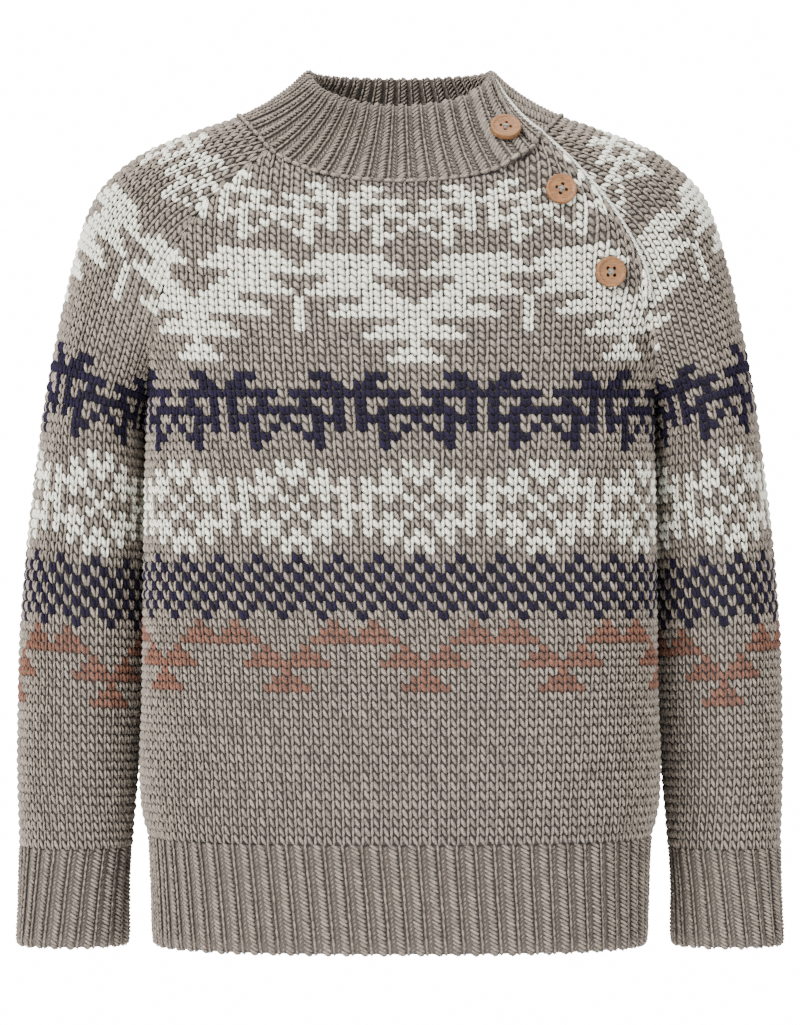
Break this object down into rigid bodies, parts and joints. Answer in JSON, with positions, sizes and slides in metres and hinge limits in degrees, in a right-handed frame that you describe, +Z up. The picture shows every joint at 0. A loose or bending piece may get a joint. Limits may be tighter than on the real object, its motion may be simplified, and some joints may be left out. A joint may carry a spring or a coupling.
{
  "type": "fair isle sweater",
  "caption": "Child's chunky-knit raglan pullover with a ribbed funnel collar, buttoned raglan opening, ribbed hem and cuffs and bands of fair isle patterning, filled out as worn.",
  "frame": {"origin": "centre of the neck at the level of the collar seam, inside the neck opening, where the wearer holds the garment up", "axes": "+Z up, -Y towards the wearer's front, +X towards the wearer's left"},
  "size_m": [0.3836, 0.1722, 0.4364],
  "materials": {
    "wool_body": "chunky stocking-stitch wool in taupe melange with fair isle bands in cream, navy and rust",
    "wool_rib": "ribbed taupe melange wool",
    "wool_edging": "soft cream wool edging",
    "wood_button": "smooth satin wood"
  },
  "bodies": {
    "root": {"front": "wool_body", "back": "wool_body", "sleeve_left": "wool_body", "sleeve_right": "wool_body", "collar": "wool_rib", "hem_front": "wool_rib", "hem_back": "wool_rib", "cuff_left": "wool_rib", "cuff_right": "wool_rib", "opening_edging": "wool_edging", "button_1": "wood_button", "button_2": "wood_button", "button_3": "wood_button"}
  },
  "joints": []
}
